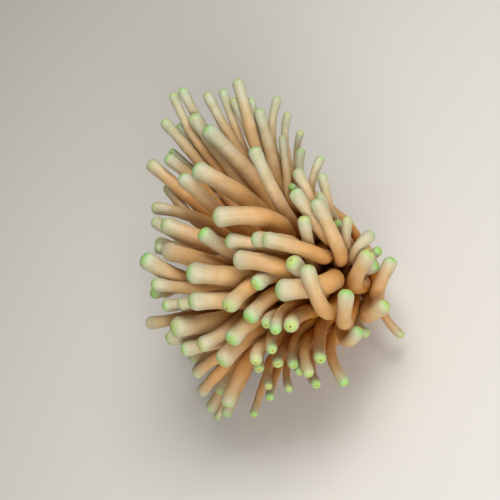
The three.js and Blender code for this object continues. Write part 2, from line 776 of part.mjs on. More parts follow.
function lips() {
  const under = DISC_HEIGHT - DISC_THICKNESS;
  const outside = LIPS_RADIUS - CUT / 2;
  const mound = revolved([
    at(0, under), at(outside, under), at(outside, DISC_HEIGHT + 1),
    at(0.7 * outside, DISC_HEIGHT + LIPS_HEIGHT), at(0, DISC_HEIGHT + LIPS_HEIGHT - 1),
  ]);
  const slit = new THREE.BoxGeometry(MOUTH_WIDTH, MOUTH_LENGTH, MOUTH_DEPTH);
  slit.translate(0, 0, DISC_HEIGHT + LIPS_HEIGHT + 1 - MOUTH_DEPTH / 2);
  return mound.subtract(toSolid(slit));
}

// ---------------------------------------------------------------- column and foot
const COLLAR_BOTTOM = 31;
const NEST = 0.6;             // more room under the blocks, whose flats don't line up with the collar's

function collar() {
  const below = DISC_THICKNESS + CUT + NEST;
  const edge = ringEdge(RINGS.length);
  const outline = [at(0, COLLAR_BOTTOM), at(WAIST_RADIUS + 2, COLLAR_BOTTOM), at(45, 34)];
  const steps = 3;
  for (let i = steps; i >= 0; i -= 1) {
    outline.push(discProfile(THREE.MathUtils.lerp(FLAT_RADIUS, edge, i / steps), below));
  }
  outline.push(at(0, DISC_HEIGHT - below));
  return revolved(outline);
}

function column() {
  return revolved([
    at(0, PEDAL_HEIGHT + CUT), at(WAIST_RADIUS + 4, PEDAL_HEIGHT + CUT),
    at(WAIST_RADIUS + 0.8, PEDAL_HEIGHT + 7), at(WAIST_RADIUS, WAIST_HEIGHT),
    at(WAIST_RADIUS + 1.6, COLLAR_BOTTOM - CUT), at(0, COLLAR_BOTTOM - CUT),
  ]);
}

function pedalDisc() {
  return revolved([
    at(0, 0), at(PEDAL_RADIUS - 1, 0), at(PEDAL_RADIUS, 2),
    at(PEDAL_RADIUS - 2, 6), at(WAIST_RADIUS + 4.5, PEDAL_HEIGHT), at(0, PEDAL_HEIGHT),
  ]);
}

// ---------------------------------------------------------------- the animal
const FINISHES = {
  tentacle: { color: "#cfa477", roughness: 0.5 },
  disc: { color: "#b98a52", roughness: 0.55 },
  lips: { color: "#d8b98c", roughness: 0.5 },
  column: { color: "#c07a4e", roughness: 0.6 },
};

const group = new THREE.Group();

function addPart(name, solid, finish) {
  const material = new THREE.MeshStandardMaterial({ ...FINISHES[finish], metalness: 0 });
  const mesh = new THREE.Mesh(toGeometry(solid), material);
  mesh.name = name;
  group.add(mesh);
}

const blocks = crownBlocks();
thinTouching(blocks);
cutApart(blocks);
blocks.forEach(({ name, solid }) => addPart(name, withoutSlivers(solid), "tentacle"));
addPart("oral_disc_middle", bareMiddle(), "disc");
addPart("lips", lips(), "lips");
addPart("collar", collar(), "disc");
addPart("column", column(), "column");
addPart("pedal_disc", pedalDisc(), "column");

export default group;
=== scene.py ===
# A giant Caribbean anemone, life size, on a plain pale floor under soft studio light.
#
# One skin covers the whole animal. Its tentacles are tubes drawn along their centre lines, its body
# is a profile spun about the upright axis, and the two are joined as solids. The pose is worked out
# in millimetres from the same named sizes as the solids, and the meshes are made in metres.
import math

import bmesh
import bpy
import numpy as np
from mathutils import Matrix, Vector


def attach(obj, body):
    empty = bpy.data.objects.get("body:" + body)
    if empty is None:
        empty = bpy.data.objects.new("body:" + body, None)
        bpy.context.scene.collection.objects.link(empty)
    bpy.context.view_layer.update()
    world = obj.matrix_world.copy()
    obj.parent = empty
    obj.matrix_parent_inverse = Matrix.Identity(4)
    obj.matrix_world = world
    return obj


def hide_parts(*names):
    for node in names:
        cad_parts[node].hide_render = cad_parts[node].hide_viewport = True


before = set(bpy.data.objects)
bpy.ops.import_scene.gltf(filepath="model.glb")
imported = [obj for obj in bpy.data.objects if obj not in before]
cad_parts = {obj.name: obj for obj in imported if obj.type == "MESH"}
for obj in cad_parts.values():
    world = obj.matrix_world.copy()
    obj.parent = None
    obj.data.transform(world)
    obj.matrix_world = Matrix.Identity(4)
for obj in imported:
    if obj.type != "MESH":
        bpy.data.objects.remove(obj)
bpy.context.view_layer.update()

MM = 0.001

# ------------------------------------------------------------------ sizes, in millimetres
CROWN_SPAN = 300          # from the highest tentacle tip to the lowest, face on
DISC_HEIGHT = 58          # middle of the oral disc above the floor
REACH = 140               # from the middle of the disc to the tip of a tentacle that faces forward
PEDAL_RADIUS = 44         # flat underside that grips the ground
PEDAL_HEIGHT = 9
WAIST_RADIUS = 36         # narrowest part of the column
WAIST_HEIGHT = 24
ROOT_RADIUS = 3.9         # a tentacle where it leaves the disc
FLOOR_CLEARANCE = 4       # under the lowest tentacle
FLAT_RADIUS = 30          # the disc is flat out to here, and then rolls over into its margin
MARGIN_BEND = 30          # radius of that roll
MIDDLE_RADIUS = 15        # bare middle, inside the first ring of tentacles
RING_STEP = 10            # from one ring to the next, along the disc's surface
SECTORS = 6
TENTACLES_IN_SIXTH = (2, 3, 4, 5, 6)     # of each ring, from the mouth outwards
CELL_EDGE = 0.15          # a tentacle's cell stops this far short of its ring's outer edge
CELL_ROOM = 0.5           # and this far short of the inner one

# ------------------------------------------------------------------ the face of the crown
# The crown is posed on a square grid laid over its face. The face looks forward and up, and is
# rolled about that direction, so that the animal's axis leans to the upper left.
GRID_SPAN = 343           # steps from the highest tip to the lowest
GRID_MIDDLE = 250         # steps from the grid's edge to its middle
GRID = CROWN_SPAN / GRID_SPAN
DISC_X, DISC_Y = 300, 275     # the disc's middle on the grid, from its top left corner
FACE_TILT = math.radians(45)
FACE_ROLL = math.radians(43)
VIEW_DISTANCE = 1200      # of the eye from the face: a step is smaller for what stands out towards it
SIDEWAYS = np.array([1.0, 0.0, 0.0])
CLIMB = np.array([0.0, math.sin(FACE_TILT), math.cos(FACE_TILT)])
FACE_OUT = np.array([0.0, -math.cos(FACE_TILT), math.sin(FACE_TILT)])
FACE_RIGHT = math.cos(FACE_ROLL) * SIDEWAYS - math.sin(FACE_ROLL) * CLIMB
FACE_UP = math.sin(FACE_ROLL) * SIDEWAYS + math.cos(FACE_ROLL) * CLIMB
FACE = np.array([FACE_RIGHT, FACE_UP, FACE_OUT])
DISC_MIDDLE = np.array([0.0, 0.0, DISC_HEIGHT])


def from_face(places):
    """Points at these places across, up and out from the middle of the disc."""
    return DISC_MIDDLE + np.asarray(places) @ FACE


def to_face(points):
    """How far points lie across, up and out from the middle of the disc."""
    return (np.asarray(points) - DISC_MIDDLE) @ FACE.T


def on_grid(x, y, out):
    """The point seen at a place on the grid that stands so far out of the face."""
    step = GRID * (1 - out / VIEW_DISTANCE)
    across = (x - GRID_MIDDLE) * step - (DISC_X - GRID_MIDDLE) * GRID
    up = (GRID_MIDDLE - y) * step - (GRID_MIDDLE - DISC_Y) * GRID
    return from_face([across, up, out])


# ------------------------------------------------------------------ camera
SENSOR_WIDTH = 36
NEAREST_SEEN = 50         # from the camera


def add_camera():
    """Looks square at the face of the crown, with the crown a little left of the disc's middle."""
    target = from_face([-(DISC_X - GRID_MIDDLE) * GRID, (DISC_Y - GRID_MIDDLE) * GRID, 0])
    place = target + VIEW_DISTANCE * FACE_OUT
    data = bpy.data.cameras.new("view of the face")
    data.sensor_width = SENSOR_WIDTH
    data.lens = SENSOR_WIDTH * VIEW_DISTANCE / (2 * GRID_MIDDLE * GRID)
    data.clip_start = NEAREST_SEEN * MM
    camera = bpy.data.objects.new("view of the face", data)
    turned = Matrix([list(FACE_RIGHT), list(FACE_UP), list(FACE_OUT)]).transposed().to_4x4()
    camera.matrix_world = Matrix.Translation(Vector(place * MM)) @ turned
    bpy.context.scene.collection.objects.link(camera)
    bpy.context.scene.camera = camera


add_camera()

# ------------------------------------------------------------------ pose of the crown
# One row for each tentacle: tip x, tip y, knee x, knee y, and girth, in grid steps, from the back of
# its group to the front. The knee is a place about halfway along. A group's first number is how much
# of its rise a tentacle has made at the knee, and its second how far forward its back row reaches,
# against the front one.
CROWN_GROUPS = [
    ("upper fan", 0.9, 0.4, [
        (300.5, 133, 297, 176, 7.5), (301.5, 151, 302, 190, 8.5), (287.5, 115, 287, 170, 8.5),
        (283.5, 136, 285, 192, 8.5), (277, 100, 277, 152, 9.5), (171.5, 151, 205, 180, 8),
        (179, 126, 215, 176, 8.5), (165.5, 123, 210, 172, 11), (173.5, 96, 213, 168, 9.5),
        (183, 91, 222, 155, 10.5), (223, 92, 243, 148, 9), (208, 96, 246, 160, 11),
        (234, 101, 260, 158, 9.5), (251, 100, 268, 150, 8.5), (195, 119, 245, 186, 14.5),
        (259, 113, 281, 180, 12), (238, 83, 266, 156, 11.5), (210, 133, 262, 194, 17),
        (255, 152, 287, 220, 13.5),
    ]),
    ("crest", 1.0, 1.0, [
        (320.5, 159, 311, 192, 8.5), (322, 177, 329, 214, 9), (347.5, 220, 343, 243, 9.5),
        (370, 236, 353, 250, 12), (321, 196, 330, 225, 8.5), (298, 173, 313, 208, 10.5),
        (296, 194, 321, 236, 13), (317, 204, 336, 244, 13), (303, 220, 317, 248, 11.5),
    ]),
    ("left side", 0.9, 1.0, [
        (167, 187, 200, 222, 10.5), (158, 248, 192, 256, 11), (156, 222, 205, 249, 12),
        (152, 165, 206, 214, 13.5), (170, 160, 226, 203, 13), (184, 179, 230, 222, 14),
        (156, 208, 215, 226, 12.5), (167, 225, 222, 248, 16.5), (204, 234, 238, 262, 14),
        (168, 252, 228, 267, 18), (149, 260, 205, 287, 18), (156, 284, 214, 292, 12.5),
        (166, 306, 205, 302, 12), (151, 323, 206, 315, 13), (171, 338, 222, 330, 14),
        (182, 304, 232, 294, 11.5), (178, 327, 232, 322, 20), (186, 349, 235, 338, 14),
        (195, 301, 248, 301, 18), (203, 345, 245, 328, 15), (194, 273, 246, 280, 20),
        (199, 171, 254, 206, 18), (220, 217, 274, 222, 19),
    ]),
    ("lower left", 0.7, 1.0, [
        (217.5, 417, 236, 375, 8.5), (211, 408, 236, 362, 11.5), (197, 373, 237, 338, 11.5),
        (203, 391, 231, 353, 12), (226.5, 413, 246, 372, 11), (228, 402, 253, 350, 14),
        (224, 359, 262, 325, 17.5), (233, 338, 275, 305, 16), (251, 318, 283, 288, 15.5),
        (230, 305, 265, 279, 15.5),
    ]),
    ("heart", 0.9, 1.0, [
        (257, 282, 293, 270, 14), (231, 241, 278, 256, 15), (240, 260, 284, 267, 17),
        (256, 240, 303, 246, 14), (268, 240, 315, 257, 14.5), (297, 262, 323, 284, 15),
        (283, 290, 308, 287, 19), (306, 270, 321, 305, 15),
    ]),
    ("right side", 0.8, 0.6, [
        (401, 335, 387, 320, 8.5), (366, 333, 356, 325, 10), (378, 251, 370, 256, 9),
        (375, 266, 362, 273, 12), (390, 262, 366, 293, 13), (384, 306, 366, 315, 14),
        (366, 255, 346, 281, 15), (356, 330, 347, 341, 12.5), (346, 295, 343, 321, 14),
    ]),
    ("lower fringe", 0.45, 1.0, [
        (254, 414, 265, 380, 8), (270, 397, 278, 368, 8.5), (268.5, 386, 273, 355, 8.5),
        (289, 389, 290, 358, 8), (316, 384, 312, 356, 10), (300, 372, 303, 345, 9),
        (259, 368, 266, 338, 10), (278, 363, 284, 335, 10), (294, 365, 297, 337, 10.5),
        (344, 382, 330, 334, 10.5), (320.5, 359, 320, 325, 11.5), (308.5, 373, 309, 332, 10.5),
        (256, 360, 268, 325, 12), (272, 349, 280, 325, 10), (267, 324, 283, 304, 11),
        (275.5, 329, 289, 302, 11), (291, 325, 304, 305, 14),
    ]),
]
LAYER_DEPTH = 24          # from the back row of a group to its front one

# Tentacles that the face hides stand in tiers about the axis, evenly turned between two bearings:
# count, first and last bearing in degrees from +X, tilt from the axis, reach, and girth in grid steps.
HIDDEN_TIERS = [
    (5, 60, 200, 60, 128, 12), (6, 60, 205, 77, 126, 12), (6, 62, 205, 94, 122, 12),
    (4, -40, 42, 40, 80, 8.5), (4, -35, 45, 52, 68, 8.5),
]
# Painted light: share by which the shafts of the groups in full light darken more slowly towards the root.
PAINTED_LIGHT_PALER = {"upper fan": 0.6, "crest": 0.4, "left side": 0.3, "heart": 0.2}


def make_tentacles():
    """Tip, girth and layer of each tentacle. The layers order the ones that show, from the back."""
    tentacles = []
    for count, first, last, lean, reach, girth in HIDDEN_TIERS:
        for i in range(count):
            turn = math.radians(first + (last - first) * (i + 0.5) / count)
            tilt = math.radians(lean)
            away = np.array([math.cos(turn) * math.sin(tilt), math.sin(turn) * math.sin(tilt),
                             math.cos(tilt)])
            tentacles.append({"tip": DISC_MIDDLE + reach * away, "girth": girth * GRID,
                              "layer": -1, "knee": None, "painted_light_paler": 0})
    layer = 0
    for name, lift, back_reach, rows in CROWN_GROUPS:
        for row, (x, y, knee_x, knee_y, girth) in enumerate(rows):
            share = row / (len(rows) - 1)
            aside = math.hypot(x - DISC_X, y - DISC_Y) * GRID
            forward = math.sqrt(max(0.0, REACH ** 2 - aside ** 2))
            out = forward * (back_reach + (1 - back_reach) * share) + (share - 0.5) * LAYER_DEPTH
            # each carries its group's share of painted light, which keeps the shafts of lit groups lighter
            tentacles.append({"tip": on_grid(x, y, out), "girth": girth * GRID, "layer": layer,
                              "out": out, "lift": lift, "knee": (knee_x, knee_y),
                              "painted_light_paler": PAINTED_LIGHT_PALER.get(name, 0)})
            layer += 1
    return tentacles


def share_out_disc(tentacles):
    """Gives each tentacle its own cell of the disc, by the bearing and the lean of its tip."""
    for tentacle in tentacles:
        reach = tentacle["tip"] - DISC_MIDDLE
        tentacle["bearing"] = math.atan2(reach[1], reach[0])
        tentacle["lean"] = math.acos(reach[2] / np.linalg.norm(reach))
    turned = sorted(tentacles, key=lambda tentacle: tentacle["bearing"])
    full = 2 * math.pi
    drift = sum(tentacle["bearing"] - full * (i + 0.5) / len(turned)
                for i, tentacle in enumerate(turned)) / len(turned)
    share = len(turned) // SECTORS
    for sector in range(SECTORS):
        here = sorted(turned[sector * share:(sector + 1) * share],
                      key=lambda tentacle: tentacle["lean"])
        taken = 0
        for ring, count in enumerate(TENTACLES_IN_SIXTH):
            in_ring = sorted(here[taken:taken + count], key=lambda tentacle: tentacle["bearing"])
            taken += count
            for slot, tentacle in enumerate(in_ring):
                edges = [drift + full * (sector + (slot + end) / count) / SECTORS for end in (0, 1)]
                find_root(tentacle, ring, edges)


def disc_profile(along):
    """Radius and height of the disc's surface so far from its middle, measured along it."""
    turn = max(0.0, along - FLAT_RADIUS) / MARGIN_BEND
    return (min(along, FLAT_RADIUS) + MARGIN_BEND * math.sin(turn),
            DISC_HEIGHT - MARGIN_BEND + MARGIN_BEND * math.cos(turn))


def find_root(tentacle, ring, edges):
    """Sets a tentacle's root in the middle of its cell, to rise square to the disc."""
    near = MIDDLE_RADIUS + RING_STEP * ring + CELL_ROOM
    far = MIDDLE_RADIUS + RING_STEP * (ring + 1) - CELL_EDGE
    corners = []
    for along, angle in ((near, edges[0]), (far, edges[0]), (far, edges[1]), (near, edges[1])):
        radius, height = disc_profile(along)
        corners.append(np.array([radius * math.cos(angle), radius * math.sin(angle), height]))
    rise = np.cross(corners[1] - corners[0], corners[3] - corners[0])
    tentacle["root"] = sum(corners) / 4
    tentacle["rise"] = rise / np.linalg.norm(rise)


# ------------------------------------------------------------------ centre lines
BEADS = 25                # places along each centre line where its spacing is kept
HALF_STEPS = 12           # places worked out on each side of the knee
ROOT_PULL = 0.9           # how long a tentacle keeps to its rise, against its inner half
HIDDEN_BOW = 0.12         # how far a hidden tentacle bows up, against its length
SWELLING = 0.3            # share of the length over which a tentacle swells from its narrow root
TAPER_FROM = 0.6          # share of the length beyond which it narrows again
TAPER = 0.05              # and by what share, at its tip


def unit(vector):
    return vector / np.linalg.norm(vector)


def smooth(t):
    t = np.clip(t, 0.0, 1.0)
    return t * t * (3 - 2 * t)


def radius_at(girth, share):
    """Radius at a share of the length, before the skin's own swellings."""
    taper = 1 - TAPER * smooth((share - TAPER_FROM) / (1 - TAPER_FROM))
    return (ROOT_RADIUS + (girth / 2 - ROOT_RADIUS) * smooth(share / SWELLING)) * taper


def hermite(start, pull, end, end_pull, t):
    """Points of a smooth curve that leaves its start and meets its end along the two pulls."""
    t = np.asarray(t)[:, None]
    return (start * (2 * t ** 3 - 3 * t ** 2 + 1) + pull * (t ** 3 - 2 * t ** 2 + t)
            + end * (3 * t ** 2 - 2 * t ** 3) + end_pull * (t ** 3 - t ** 2))


def rough_line(tentacle):
    """From the root up through the knee to the tip."""
    root, rise, tip = tentacle["root"], tentacle["rise"], tentacle["tip"]
    if tentacle["knee"] is None:
        knee = (root + tip) / 2 + HIDDEN_BOW * np.linalg.norm(tip - root) * rise
    else:
        root_out = (root - DISC_MIDDLE) @ FACE_OUT
        knee = on_grid(*tentacle["knee"], root_out + (tentacle["out"] - root_out) * tentacle["lift"])
    inner = np.linalg.norm(knee - root)
    outer = np.linalg.norm(tip - knee)
    heading = unit(unit(knee - root) + unit(tip - knee))
    first = hermite(root, ROOT_PULL * inner * rise, knee, inner * heading,
                    np.arange(HALF_STEPS) / HALF_STEPS)
    second = hermite(knee, outer * heading, tip, 2 * (tip - knee) - outer * heading,
                     np.arange(HALF_STEPS + 1) / HALF_STEPS)
    return np.vstack([first, second])


def even_line(line, count):
    """The same line with its places an equal distance apart."""
    reached = np.concatenate([[0], np.cumsum(np.linalg.norm(np.diff(line, axis=0), axis=1))])
    targets = np.linspace(0, reached[-1], count)
    return np.stack([np.interp(targets, reached, line[:, axis]) for axis in range(3)], axis=1)


# ------------------------------------------------------------------ making room
# Tentacles that lie closer than their girths allow are eased apart: first towards and away from the
# face, in the order of their layers, and then straight away from each other. A root can't give way.
ROUNDS = 100
SPARE = 1.3               # between the skins of two neighbours
ORDERED_ROUNDS = 50       # in these the layers decide who gives way, and later mere nearness
ORDERED_FROM = 0.62       # share of the length beyond which the layers count
GIVE_FROM = 0.03          # share of the length where a tentacle starts to give way
GIVE_OVER = 0.2           # share over which it comes to do so in full
LONGEST_STEP = 10         # most by which the layers or the disc move a place in a round
SHARING = 6               # how often a push is passed on to the places next to it
HIT_SHARE = 0.3           # how far the pushes of several neighbours at one place are averaged
STIFFNESS = 0.2           # how far a place keeps to the places on either side of it
NEAR = 15                 # pairs no further apart than this are watched
NEAR_IN_DEPTH = 3         # and in depth so many times further
WATCH_ROUNDS = 10         # rounds after which the pairs are looked for again
LIFT_SHARE = 0.5          # share of what it lacks by which a place is lifted off floor and disc
OVER_DISC_FROM = 0.15     # share of the length beyond which a tentacle keeps off the disc
DISC_CLEARANCE = 2
MARGIN_DROP = 8           # how much lower it may lie over the margin
TINY = 1e-6               # keeps two roots, which don't give way, from a division by zero


def make_room(tentacles):
    """Moves the centre lines until the tentacles clear each other, the floor and the disc."""
    count = len(tentacles)
    shares = np.tile(np.arange(BEADS) / (BEADS - 1), count)
    layer = np.repeat([tentacle["layer"] for tentacle in tentacles], BEADS)
    radius = np.concatenate([radius_at(tentacle["girth"], np.arange(BEADS) / (BEADS - 1))
                             for tentacle in tentacles])
    home = to_face(np.vstack([tentacle["line"] for tentacle in tentacles]))
    give = smooth((shares - GIVE_FROM) / GIVE_OVER)
    shift = np.zeros_like(home)
    for step in range(ROUNDS):
        now = home + shift
        if step % WATCH_ROUNDS == 0:
            a, b = near_pairs(now, radius)
            wanted = radius[a] + radius[b] + SPARE
            layered = ((layer[a] >= 0) & (layer[b] >= 0)
                       & (shares[a] > ORDERED_FROM) & (shares[b] > ORDERED_FROM))
            total = give[a] + give[b] + TINY
        gap = now[b] - now[a]
        aside = np.hypot(gap[:, 0], gap[:, 1])
        apart = np.hypot(aside, gap[:, 2])
        in_order = layered & (aside < wanted) & (step < ORDERED_ROUNDS)
        close = ~in_order & (apart < wanted)
        steps = np.zeros_like(gap)
        clear = np.sqrt(np.maximum(0, wanted ** 2 - aside ** 2)) - gap[:, 2]
        steps[in_order, 2] = np.clip(clear[in_order], 0, LONGEST_STEP)
        ease = (wanted - apart) / np.maximum(apart, 1)
        steps[close] = gap[close] * ease[close, None]
        push = np.zeros_like(home)
        np.add.at(push, a, -steps * (give[a] / total)[:, None])
        np.add.at(push, b, steps * (give[b] / total)[:, None])
        hit = in_order | close
        hits = np.bincount(a[hit], minlength=len(home)) + np.bincount(b[hit], minlength=len(home))
        push /= np.maximum(1, hits * HIT_SHARE)[:, None]
        shift = ease_shifts(push, shift, home, give, radius, shares)
    lines = from_face(home + shift).reshape(count, BEADS, 3)
    for tentacle, line in zip(tentacles, lines):
        tentacle["line"] = even_line(line, BEADS)


def near_pairs(now, radius):
    """Pairs of places on two tentacles that are close enough to watch."""
    first, second = [], []
    for i in range(0, len(now), BEADS):
        mine = slice(i, i + BEADS)
        rest = slice(i + BEADS, len(now))
        wanted = radius[mine, None] + radius[None, rest] + NEAR
        gap = np.abs(now[mine, None] - now[None, rest])
        near = ((gap[..., 0] < wanted) & (gap[..., 1] < wanted)
                & (gap[..., 2] < NEAR_IN_DEPTH * wanted))
        a, b = np.nonzero(near)
        first.append(a + i)
        second.append(b + i + BEADS)
    return np.concatenate(first), np.concatenate(second)


def ease_shifts(push, shift, home, give, radius, shares):
    """Shares each push along its tentacle, so that the line stays smooth, and keeps it off the floor
    and off the disc."""
    push = push.reshape(-1, BEADS, 3)
    for again in range(SHARING):
        after = np.concatenate([push[:, 2:], push[:, -1:]], axis=1)
        push[:, 1:] = 0.5 * push[:, 1:] + 0.25 * (push[:, :-1] + after)
    moved = shift + push.reshape(-1, 3) * give[:, None]
    place = from_face(home + moved)
    moved += LIFT_SHARE * (floor_lack(place, radius, shares) * give)[:, None] * FACE[:, 2]
    lines = moved.reshape(-1, BEADS, 3)
    middle = (lines[:, :-2] + lines[:, 2:]) / 2
    lines[:, 1:-1] += STIFFNESS * (middle - lines[:, 1:-1])
    lines[:, 0] = 0
    return moved


def floor_lack(place, radius, shares):
    """How much too low each place lies over the floor or the disc."""
    lack = np.maximum(0, radius + FLOOR_CLEARANCE - place[:, 2])
    margin = FLAT_RADIUS + MARGIN_BEND
    from_axis = np.hypot(place[:, 0], place[:, 1])
    lowest = DISC_HEIGHT + radius + DISC_CLEARANCE - MARGIN_DROP * (from_axis / margin) ** 2
    over_disc = (shares > OVER_DISC_FROM) & (from_axis < margin)
    return np.where(over_disc, np.maximum(lack, np.minimum(lowest - place[:, 2], LONGEST_STEP)), lack)


tentacles = make_tentacles()
share_out_disc(tentacles)
for tentacle in tentacles:
    tentacle["line"] = even_line(rough_line(tentacle), BEADS)
make_room(tentacles)

# ------------------------------------------------------------------ tubes
TUBE_SIDES = 14
RING_SPACING = 3.5        # along a shaft
SUNK = 2.5                # how far a tube starts below the disc
ROOT_FLARE = 0.9          # how much wider a tube is where it leaves the disc
FLARE_LENGTH = 5
TIP_LENGTH = 0.75         # the tip stands this far past the line's end, against its radius
DOME_HEIGHT = 0.95        # of the rounded end, against its radius
DOME_FULLNESS = 2.1       # 2 is a round dome, and more is blunter
DOME_SHARES = (0.74, 0.5, 0.3, 0.14, 0.045)     # heights of its rings below its top
# Rings of the pore in the middle of the tip: radius and depth, against the tip's radius.
PORE_RINGS = ((0.22, 0.0), (0.15, 0.04), (0.09, 0.14), (0.04, 0.24))
PORE_SLIT = (1.3, 0.6)    # the pore is a slit: wider one way and narrower the other
# The end swells, with a slight neck behind it: how much, how far from the tip, and over what length.
SWOLLEN_TIP = (0.1, 7, 5.5)
NECK = (-0.05, 19, 7)
UNDULATIONS = ((0.018, 23), (0.012, 10))      # uneven girth: how much, and over what length
EVEN_ROOT = 20            # the girth becomes uneven over this length from the root
EVEN_TIP = 6              # and is even again this far from the tip
EVEN_FADE = 12
OVAL = 0.03               # how much wider one way, and narrower the other, a shaft is
SPAN_STEPS = 8            # places drawn from each place of the centre line to the next
FIRST_SIDE = (0.3, -0.8, 0.5)     # the first side of a tube is square to this and to its root
CHANCE_SEED = 12

chance = np.random.default_rng(CHANCE_SEED)


def fine_line(line):
    """A smooth curve through the places of a centre line."""
    pulls = np.gradient(line, axis=0)
    steps = np.arange(SPAN_STEPS) / SPAN_STEPS
    spans = [hermite(line[i], pulls[i], line[i + 1], pulls[i + 1], steps)
             for i in range(len(line) - 1)]
    return np.vstack(spans + [line[-1:]])


def carried_frames(line):
    """Headings along a line, with side directions that turn no more than they have to."""
    headings = np.gradient(line, axis=0)
    headings /= np.linalg.norm(headings, axis=1)[:, None]
    side = unit(np.cross(headings[0], FIRST_SIDE))
    sides = []
    for heading in headings:
        side = unit(side - (side @ heading) * heading)
        sides.append(side)
    return headings, np.array(sides)


def bump_at(u, size, place, length):
    """A soft swelling about a place so far from the tip."""
    return size * np.exp(-((u - place) / length) ** 2)


def tube_rings(tentacle):
    """A tube's line and length, and its rings from the sunk root to the bottom of the pore: distance
    along the line, radius, and whether the ring belongs to the slit."""
    line = fine_line(tentacle["line"])
    reached = np.concatenate([[0], np.cumsum(np.linalg.norm(np.diff(line, axis=0), axis=1))])
    length = reached[-1]
    end_radius = radius_at(tentacle["girth"], 1)
    total = length + TIP_LENGTH * end_radius
    dome = DOME_HEIGHT * end_radius
    count = round((total - dome + SUNK) / RING_SPACING)
    phases = chance.uniform(0, 2 * math.pi, len(UNDULATIONS))
    rings = []
    for s in np.linspace(-SUNK, total - dome, count):
        rings.append((s, shaft_radius(tentacle, s, length, total, phases), False))
    shoulder = rings[-1][1]
    for share in DOME_SHARES:
        u = share * dome
        radius = shoulder * (1 - (1 - share) ** DOME_FULLNESS) ** (1 / DOME_FULLNESS)
        rings.append((total - u, radius, False))
    for radius, depth in PORE_RINGS:
        rings.append((total - depth * end_radius, radius * end_radius, True))
    return line, reached, total, rings


def shaft_radius(tentacle, s, length, total, phases):
    """Radius of the skin at a distance s from the root."""
    u = total - s
    base = radius_at(tentacle["girth"], min(max(s / length, 0), 1))
    uneven = sum(size * math.sin(2 * math.pi * s / wave + phase)
                 for (size, wave), phase in zip(UNDULATIONS, phases))
    uneven *= smooth(s / EVEN_ROOT) * smooth((u - EVEN_TIP) / EVEN_FADE)
    factor = 1 + uneven + bump_at(u, *SWOLLEN_TIP) + bump_at(u, *NECK)
    return base * factor + ROOT_FLARE * (1 - smooth(s / FLARE_LENGTH))


def value_at(values, reached, s):
    """The value so far along a line, from the values at its places and how far along they lie."""
    return np.array([np.interp(s, reached, values[:, axis]) for axis in range(3)])


def ring_frame(line, reached, headings, sides, s):
    """Place and turn of the ring so far along a line, which goes straight on past its ends."""
    inside = min(max(s, 0), reached[-1])
    heading = unit(value_at(headings, reached, inside))
    side = value_at(sides, reached, inside)
    side = unit(side - (side @ heading) * heading)
    centre = value_at(line, reached, inside) + (s - inside) * heading
    across = np.cross(heading, side)
    return (Matrix.Translation(Vector(centre * MM))
            @ Matrix([side, across, heading]).transposed().to_4x4())


def make_tube(bm, tentacle, tone):
    """Draws a ring out along the line, ring by ring, and closes both ends. Each vertex keeps its
    place: how far off the axis it lies, against the tip's radius, and how far from the tip."""
    place_layer = bm.verts.layers.float_vector["place"]
    tone_layer = bm.verts.layers.float["tone"]
    painted_light_paler_layer = bm.verts.layers.float["painted_light_paler"]
    line, reached, total, rings = tube_rings(tentacle)
    headings, sides = carried_frames(line)
    turn = chance.uniform(0, math.pi)
    tip_radius = radius_at(tentacle["girth"], 1)
    before, edges = None, []
    for s, radius, in_slit in rings:
        wide, narrow = PORE_SLIT if in_slit else (1 + OVAL, 1 - OVAL)
        ring = (ring_frame(line, reached, headings, sides, s) @ Matrix.Rotation(turn, 4, "Z")
                @ Matrix.Diagonal((radius * wide * MM, radius * narrow * MM, MM, 1)))
        if before is None:
            made = bmesh.ops.create_circle(bm, segments=TUBE_SIDES, radius=1, matrix=ring)
            verts = made["verts"]
            edges = list(bm.edges)
            first = edges
        else:
            made = bmesh.ops.extrude_edge_only(bm, edges=edges)["geom"]
            verts = [item for item in made if isinstance(item, bmesh.types.BMVert)]
            edges = [item for item in made if isinstance(item, bmesh.types.BMEdge)]
            bmesh.ops.transform(bm, matrix=ring @ before.inverted(), verts=verts)
        before = ring
        aside = Matrix.Diagonal((radius * wide / tip_radius, radius * narrow / tip_radius, 1, 1))
        for vert in verts:
            x, y, _ = aside @ ring.inverted() @ vert.co
            vert[place_layer] = (x, y, total - s)
            vert[tone_layer] = tone
            # the share of painted light that keeps the shaft of a lit group lighter
            vert[painted_light_paler_layer] = tentacle["painted_light_paler"]
    bmesh.ops.contextual_create(bm, geom=first)
    bmesh.ops.contextual_create(bm, geom=edges)


def new_bmesh():
    """An empty bmesh with the values that the material reads: place and tone of a tentacle, its share of
    painted light that keeps the shafts of lit groups lighter, and how far a vertex belongs to the body."""
    bm = bmesh.new()
    bm.verts.layers.float_vector.new("place")
    bm.verts.layers.float.new("tone")
    bm.verts.layers.float.new("painted_light_paler")
    bm.verts.layers.float.new("body")
    return bm


def make_tubes():
    """All the tentacles, each a closed tube."""
    whole = new_bmesh()
    for tentacle in tentacles:
        bm = new_bmesh()
        make_tube(bm, tentacle, chance.uniform())
        bmesh.ops.recalc_face_normals(bm, faces=bm.faces)
        mesh = bpy.data.meshes.new("tube")
        bm.to_mesh(mesh)
        bm.free()
        whole.from_mesh(mesh)
        bpy.data.meshes.remove(mesh)
    return to_object(whole, "tubes")


def to_object(bm, name):
    mesh = bpy.data.meshes.new(name)
    bm.to_mesh(mesh)
    bm.free()
    made = bpy.data.objects.new(name, mesh)
    bpy.context.scene.collection.objects.link(made)
    return made


